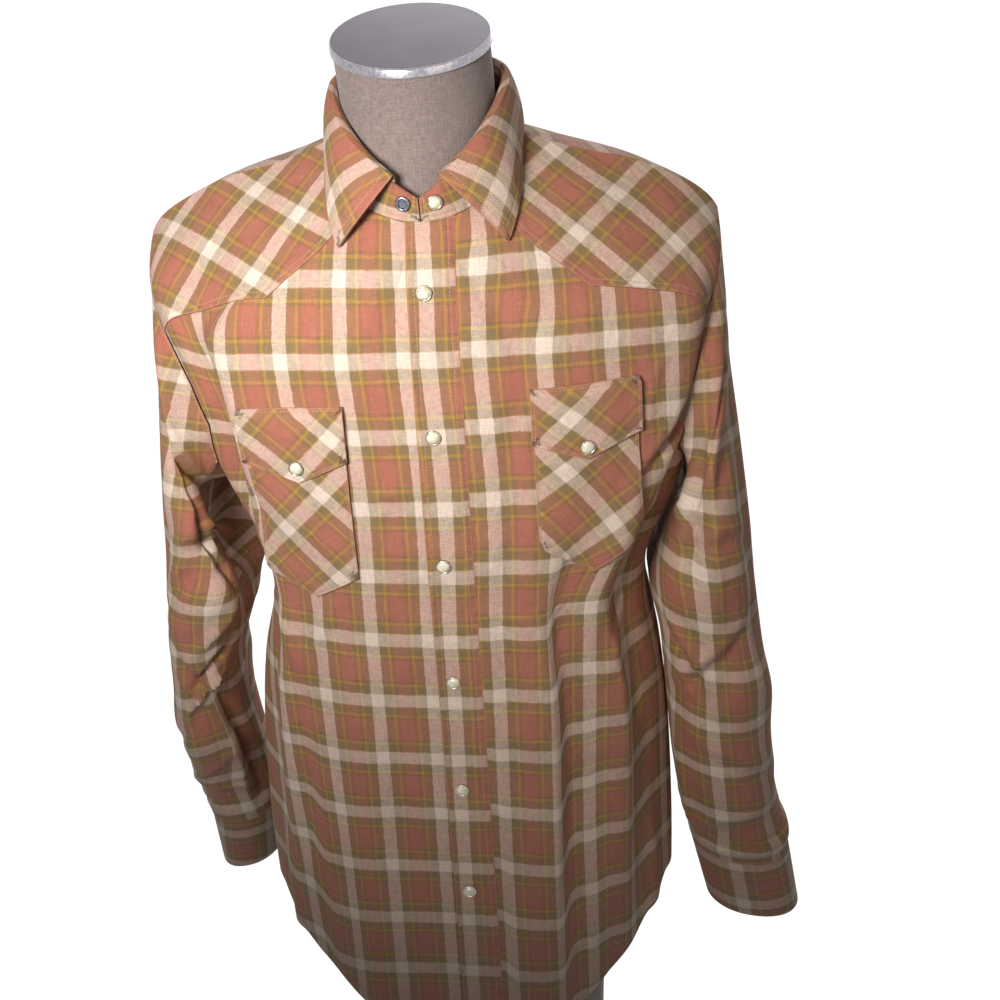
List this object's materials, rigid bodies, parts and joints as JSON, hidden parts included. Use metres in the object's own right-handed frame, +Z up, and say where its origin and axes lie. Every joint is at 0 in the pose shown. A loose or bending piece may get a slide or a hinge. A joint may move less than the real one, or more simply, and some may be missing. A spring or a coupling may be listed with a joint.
{
  "type": "western snap shirt on dress form",
  "caption": "Long-sleeved western shirt with pointed bias-cut yokes, snapped flap pockets and a snap front, hanging on a limbless dress form with a flat base.",
  "frame": {"origin": "middle of the dress form's flat base, on the surface it stands on", "axes": "+Z up the body, +X to the wearer's left, -Y towards the front of the shirt"},
  "size_m": [0.5421, 0.2322, 0.939],
  "materials": {
    "flannel": "brushed cotton flannel, plaid cut on the straight grain",
    "flannel_bias": "brushed cotton flannel, plaid cut on the bias",
    "pearl": "pearl cap in a metal rim",
    "stud": "open ring stud",
    "linen": "fine unbleached linen",
    "brushed_metal": "brushed face with a polished rim"
  },
  "bodies": {
    "root": {"form_torso": "linen", "form_neck_cap": "brushed_metal", "front_left": "flannel", "front_right": "flannel", "back": "flannel", "yoke_front_left": "flannel_bias", "yoke_front_right": "flannel_bias", "yoke_back": "flannel_bias", "placket": "flannel", "pocket_left": "flannel_bias", "pocket_right": "flannel_bias", "flap_left": "flannel_bias", "flap_right": "flannel_bias", "sleeve_left": "flannel", "sleeve_right": "flannel", "cuff_left": "flannel", "cuff_right": "flannel", "collar_stand": "flannel", "collar_fall": "flannel", "snap_front_1": "pearl", "snap_front_2": "pearl", "snap_front_3": "pearl", "snap_front_4": "pearl", "snap_front_5": "pearl", "snap_front_6": "pearl", "snap_pocket_left": "pearl", "snap_pocket_right": "pearl", "snap_cuff_left": "pearl", "snap_cuff_right": "pearl", "snap_collar_cap": "pearl", "snap_collar_stud": "stud"}
  },
  "joints": []
}
